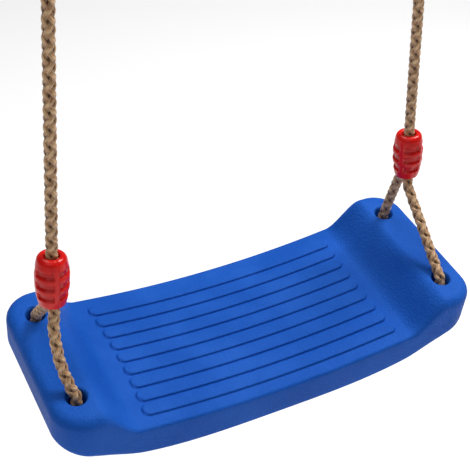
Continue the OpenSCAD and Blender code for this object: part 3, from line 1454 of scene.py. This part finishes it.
class RopeSet:
    """The straight rope, the eye and the legs of one side."""

    STRAIGHT = [(0, 0, -100.5 - 257.0 * k / 8) for k in range(9)]
    CLAMP_IN = [
        (0, 0, 43.9), (0, -0.3, 42.3), (0, -1.3, 39.5), (0, -2.6, 36.5), (0, -4, 33), (0, -4.9, 30),
        (0, -5.1, 27), (0, -5.1, 18), (0, -5.1, 6),
    ]
    CLAMP_OUT = [(0, 5.1, 6), (0, 5.1, 17), (0, 5.1, 27)]
    BOW = {(-12, 66): 3.0, (-20, 52): 6.5, (-34, 28): 7.0, (-46, 8): 3.0}  # outward, left front leg
    FLANK = [(5.4, -54), (8, -44), (13.5, -33), (18, -20)]
    TURN_RADIUS = 18.655
    TURN_DROP = 7.7
    TURN_STEPS = 8
    LEGS = {
        Side.LEFT: [
            (-12, 66), (-20, 52), (-34, 28), (-46, 8), (-51.5, -1), (-53, -8), (-53, -16),
            (-51, -25), (-45, -33), (-35, -37), (-18, -38), (0, -38), (18, -38), (35, -37),
            (45, -33), (51, -25), (53, -16), (53, -8), (51.5, -1), (45, 9), (26, 35), (8, 60),
            (3, 67),
        ],
        Side.RIGHT: [
            (28, 61), (20, 53), (-5, 34), (-34, 12), (-48, 2), (-53, -4), (-54, -11), (-53, -20),
            (-48, -30), (-38, -36), (-18, -38), (0, -38), (18, -38), (35, -37), (45, -33),
            (51, -25), (53, -16), (53, -8), (52, 0), (50, 14), (45, 42), (42, 58), (41, 62),
        ],
    }

    def __init__(self, side: Side, hang: Hang) -> None:
        """Args:
            side: which side.
            hang: where it hangs.
        """
        self.side = side
        self.hang = hang
        self.rope = Rope()

    def _line(self, matrix: Matrix, points: Sequence[tuple[float, float, float]]) -> list[Vector]:
        """Puts points given in millimetres in the shared frame."""
        return [matrix @ (Vector(p) * MM) for p in points]

    def _eye_points(self) -> list[tuple[float, float, float]]:
        """Points of the eye: out of the upper clamp, round the thimble and back to the tail.

        Returns:
            The points, in the frame of the rope.
        """
        mouth = self.hang.upper_mouth / MM
        inside = [(0, y, -mouth - z) for _, y, z in self.CLAMP_IN]
        tail = [(0, y, -mouth - z) for _, y, z in self.CLAMP_OUT]
        turn = []
        for k in range(self.TURN_STEPS + 1):
            angle = math.pi * (1 - k / self.TURN_STEPS)
            turn.append((0, self.TURN_RADIUS * math.cos(angle),
                         self.TURN_RADIUS * math.sin(angle) - self.TURN_DROP))
        flank = [(0, -y, z) for y, z in self.FLANK]
        back = [(0, y, z) for y, z in reversed(self.FLANK)]
        return inside + flank + turn + back + tail

    def _leg_line(self) -> list[Vector]:
        """Points of the legs: out of the lower clamp, under the seat and back.

        Returns:
            The points, in the shared frame.
        """
        hole_x = SeatSizes().hole_x / MM
        clamp, seat = self.hang.lower_clamp(self.side), self.hang.seat()
        under = [
            (self.side.value * (hole_x + self.BOW.get((y, z), 0.0)), y, z)
            for y, z in self.LEGS[self.side]
        ]
        return (
            self._line(clamp, self.CLAMP_IN) + self._line(seat, under)
            + self._line(clamp, self.CLAMP_OUT)
        )

    def build(self, finishes: Finishes) -> list[bpy.types.Object]:
        """Makes the three runs of rope and puts the straight rope and the eye each on its body; the
        legs stay in the shared frame.

        Args:
            finishes: the materials.

        Returns:
            The pieces.
        """
        label = self.side.label
        axes = self.hang.rope_axes(self.side)
        runs = {
            "rope": self._line(axes, self.STRAIGHT),
            "rope_eye": self._line(axes, self._eye_points()),
            "rope_legs": self._leg_line(),
        }
        made = []
        for kind, points in runs.items():
            path = curve_through(points, BRIDGE_STEP)
            piece = self.rope.build(f"{label}_{kind}_braid", path, Vector((1, 0, 0)))
            if kind == "rope_legs":
                seat = self.hang.seat()
                mouth = self.hang.lower_clamp(self.side).translation
                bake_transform(piece)
                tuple(mouth)
            else:
                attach(piece, {"rope": f"{label}_rope", "rope_eye": f"{label}_eye"}[kind])
            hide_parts(f"{label}_{kind}")
            finishes.dress(piece, "rope")
            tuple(path[0])
            length_of(path)
            "taut" if kind == "rope" else "hanging"
            LOG.info("made %s, %.3f m long", piece.name, length_of(path))
            made.append(piece)
        return made


# ---------------------------------------------------------------- rings and thimbles


class Hanger:
    """The hanging ring and the thimble of one side."""

    RING_RADIUS = 30.0 * MM
    WIRE = 3.0 * MM
    WELD_SWELL = 0.10  # the weld's bead, as shares of the wire's radius and of the ring's turn
    WELD_AT = 0.25
    WELD_WIDTH = 0.012
    THIMBLE_DROP = 7.7 * MM
    ROPE_RING = 18.1 * MM
    GROOVE = 5.1 * MM
    WALL = 2.0 * MM
    RIM_ANGLE = 78.0

    def __init__(self, side: Side, hang: Hang) -> None:
        """Args:
            side: which side.
            hang: where it hangs.
        """
        self.side = side
        self.hang = hang

    def _ring(self) -> bpy.types.Object:
        """Makes the ring.

        Returns:
            The piece.
        """
        centre = self.hang.rope_axes(self.side).translation + Vector((0, 0, self.RING_RADIUS))
        shell = Shell(f"{self.side.label}_steel_ring")

        def spot(u: float, v: float) -> Vector:
            """Place of a point of the ring.

            Args:
                u: share of the way round the ring.
                v: share of the way round its wire.

            Returns:
                The place in the shared frame.
            """
            a, b = 2 * math.pi * u, 2 * math.pi * v
            bead = 1.0 + self.WELD_SWELL * math.exp(-(((u - self.WELD_AT) / self.WELD_WIDTH) ** 2))
            radius = self.RING_RADIUS + self.WIRE * bead * math.cos(b)
            return centre + Vector(
                (radius * math.cos(a), self.WIRE * bead * math.sin(b), radius * math.sin(a))
            )

        shell.grid(144, 24, spot, (12.0, 1.0))
        shell.weld()
        return shell.finish()

    def _thimble(self) -> bpy.types.Object:
        """Makes the thimble.

        Returns:
            The piece.
        """
        axes = self.hang.rope_axes(self.side) @ Matrix.Translation((0, 0, -self.THIMBLE_DROP))
        shell = Shell(f"{self.side.label}_nylon_thimble")
        inner, outer = self.GROOVE, self.GROOVE + self.WALL
        rim = math.radians(self.RIM_ANGLE)

        def spot(u: float, v: float) -> Vector:
            """Place of a point of the thimble.

            Args:
                u: share of the way round the thimble.
                v: share of the way round its channel's outline.

            Returns:
                The place in the thimble's frame.
            """
            a, turn = 2 * math.pi * u, 2 * math.pi * v
            share = (turn % math.pi) / math.pi
            if turn < math.pi:
                angle, reach = lerp(-rim, rim, share), outer
            else:
                angle, reach = lerp(rim, -rim, share), inner
            radius = self.ROPE_RING - reach * math.cos(angle)
            return Vector((reach * math.sin(angle), radius * math.cos(a), radius * math.sin(a)))

        shell.grid(96, 32, spot, (6.0, 1.0))
        shell.weld()
        return shell.finish(axes)

    def build(self, finishes: Finishes) -> list[bpy.types.Object]:
        """Makes the ring and the thimble.

        Args:
            finishes: the materials.

        Returns:
            The pieces.
        """
        label = self.side.label
        ring, thimble = self._ring(), self._thimble()
        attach(ring, "rings")
        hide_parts(f"{label}_ring")
        finishes.dress(ring, "ring")
        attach(thimble, f"{label}_eye")
        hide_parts(f"{label}_thimble")
        finishes.dress(thimble, "thimble")
        LOG.info("made %s and %s", ring.name, thimble.name)
        return [ring, thimble]


class Clamps:
    """The upper and lower clamp of one side, with the sleeves inside them."""

    TURN = {Side.LEFT: math.radians(-7.0), Side.RIGHT: math.radians(23.0)}

    def __init__(self, side: Side, hang: Hang) -> None:
        """Args:
            side: which side.
            hang: where it hangs.
        """
        self.side = side
        self.hang = hang
        self.clamp = Clamp()

    def build(self, finishes: Finishes) -> None:
        """Makes four half shells and dresses the two sleeves.

        Args:
            finishes: the materials.
        """
        label = self.side.label
        inward = -self.side.value
        for level, body, place in (
            ("lower", "yoke", self.hang.lower_clamp(self.side)),
            ("upper", "eye", self.hang.upper_clamp(self.side)),
        ):
            for part, toward in (("inner", inward), ("outer", -inward)):
                node = f"{label}_{level}_clamp_{part}"
                piece = self.clamp.half(f"{node}_shell", toward, self.TURN[self.side], place)
                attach(piece, f"{label}_{body}")
                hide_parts(node)
                finishes.dress(piece, "clamp")
                LOG.info("made %s", piece.name)
            finishes.dress(frame["nodes"][f"{label}_{level}_sleeve"], "sleeve")


# ---------------------------------------------------------------- stage


@dataclass(frozen=True)
class SoftLight:
    """A large soft lamp aimed at the seat."""

    name: str
    place: tuple[float, float, float]
    size: float
    power: float
    colour: Colour = (1.0, 1.0, 1.0)

    def build(self, target: Vector) -> None:
        """Adds the lamp.

        Args:
            target: the point it faces.
        """
        lamp = bpy.data.lights.new(self.name, "AREA")
        lamp.shape = "DISK"
        lamp.size = self.size
        lamp.energy = self.power
        lamp.color = self.colour
        thing = bpy.data.objects.new(self.name, lamp)
        thing.location = target + Vector(self.place)
        thing.rotation_euler = (-Vector(self.place)).to_track_quat("-Z", "Y").to_euler()
        bpy.context.scene.collection.objects.link(thing)


@dataclass(frozen=True)
class Stage:
    """Camera, floor and lamps."""

    eye: tuple[float, float, float] = (-0.46131, -0.66194, 0.13911)
    heading: float = math.radians(34.2007)
    dip: float = math.radians(35.5073)
    roll: float = math.radians(-1.564)
    lens: float = 81.747
    floor_below: float = 0.55
    lamps: tuple[SoftLight, ...] = (
        SoftLight("key_lamp", (1.7, 0.1, 2.4), 1.4, 60.0),
        SoftLight("fill_lamp", (-1.4, -1.2, 2.2), 2.0, 8.0),
        SoftLight("top_lamp", (0.0, 0.8, 3.0), 2.4, 38.0),
    )

    def camera(self) -> None:
        """Adds the camera."""
        lens = bpy.data.cameras.new("camera")
        lens.sensor_width = 36.0
        lens.lens = self.lens
        lens.clip_start, lens.clip_end = 0.05, 30.0
        thing = bpy.data.objects.new("camera", lens)
        ahead = Vector(
            (math.sin(self.heading) * math.cos(self.dip),
             math.cos(self.heading) * math.cos(self.dip), -math.sin(self.dip))
        )
        level = ahead.cross(Vector((0, 0, 1))).normalized()
        rise = level.cross(ahead)
        up = rise * math.cos(self.roll) + level * math.sin(self.roll)
        right = ahead.cross(up)
        pose = Matrix((right, up, -ahead)).transposed().to_4x4()
        pose.translation = Vector(self.eye)
        thing.matrix_world = pose
        bpy.context.scene.collection.objects.link(thing)
        bpy.context.scene.camera = thing

    def surroundings(self, finishes: Finishes) -> None:
        """Adds the floor, the lamps and the even light of the room.

        Args:
            finishes: the materials.
        """
        low, high = PACKED_BOUNDS
        shell = Shell("floor")
        level = low.z - self.floor_below
        shell.grid(2, 2, lambda u, v: Vector(((u - 0.5) * 24, (v - 0.5) * 24, level)))
        floor = shell.finish()
        floor.data.materials.append(finishes.floor)
        target = Vector((0, 0, low.z + 0.05))
        for lamp in self.lamps:
            lamp.build(target)
        world = bpy.data.worlds.new("room")
        world.use_nodes = True
        sky = world.node_tree.nodes["Background"]
        sky.inputs["Color"].default_value = (1.0, 1.0, 1.0, 1.0)
        sky.inputs["Strength"].default_value = 0.12
        bpy.context.scene.world = world
        bpy.context.scene.view_settings.view_transform = "Standard"


def main() -> None:
    """Builds every class in order."""
    logging.basicConfig(level=logging.INFO, format="%(message)s")
    hang = Hang()
    stage = Stage()
    stage.camera()
    finishes = Finishes()
    for side in Side:
        RopeSet(side, hang).build(finishes)
    for side in Side:
        Clamps(side, hang).build(finishes)
        Hanger(side, hang).build(finishes)
    seat = Seat(hang).build(finishes)
    LOG.info("made %s", seat.name)
    stage.surroundings(finishes)


if __name__ == "__main__":
    main()
